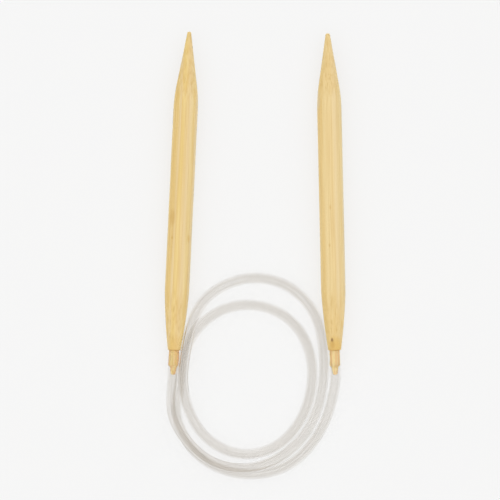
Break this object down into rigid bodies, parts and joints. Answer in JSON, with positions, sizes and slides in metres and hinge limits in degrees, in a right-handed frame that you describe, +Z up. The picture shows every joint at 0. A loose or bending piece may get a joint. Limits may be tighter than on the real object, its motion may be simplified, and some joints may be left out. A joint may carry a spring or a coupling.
{
  "type": "circular knitting needle",
  "caption": "Circular knitting needle: thick tapered bamboo needles joined end to end by a soft clear tube, which lies behind them on the same surface in a loose coil.",
  "frame": {"origin": "on the surface that the needles lie on, under the middle of the box round the two needles", "axes": "+Y along the needles towards their tips, +Z up off the surface, +X towards the right needle seen from above"},
  "size_m": [0.0736, 0.1825, 0.01],
  "materials": {
    "bamboo": "satin, fine lengthwise fibres",
    "clear_tube": "clear, slightly hazy soft plastic"
  },
  "bodies": {
    "tube": {"tube_loop": "clear_tube"},
    "left_tube_end": {"tube_left_end": "clear_tube"},
    "left_needle": {"left_needle": "bamboo"},
    "right_tube_end": {"tube_right_end": "clear_tube"},
    "right_needle": {"right_needle": "bamboo"}
  },
  "joints": [
    {"name": "left_tube_bend", "type": "hinge", "parent": "tube", "child": "left_tube_end", "pos_m": [-0.034, -0.0818, 0.00635], "axis": [0, 0, 1], "range_deg": [0, 60], "stiffness_Nm_per_rad": 0.007},
    {"name": "left_needle_twist", "type": "hinge", "parent": "left_tube_end", "child": "left_needle", "pos_m": [-0.033, -0.05997, 0.00498], "axis": [0.0475, 0.9989, 0], "range_deg": [-180, 180], "stiffness_Nm_per_rad": 0.0002},
    {"name": "right_tube_bend", "type": "hinge", "parent": "tube", "child": "right_tube_end", "pos_m": [0.0308, -0.0819, 0.0037], "axis": [0, 0, -1], "range_deg": [0, 60], "stiffness_Nm_per_rad": 0.007},
    {"name": "right_needle_twist", "type": "hinge", "parent": "right_tube_end", "child": "right_needle", "pos_m": [0.0324, -0.05997, 0.00498], "axis": [-0.022, 0.9998, 0], "range_deg": [-180, 180], "stiffness_Nm_per_rad": 0.0002}
  ]
}
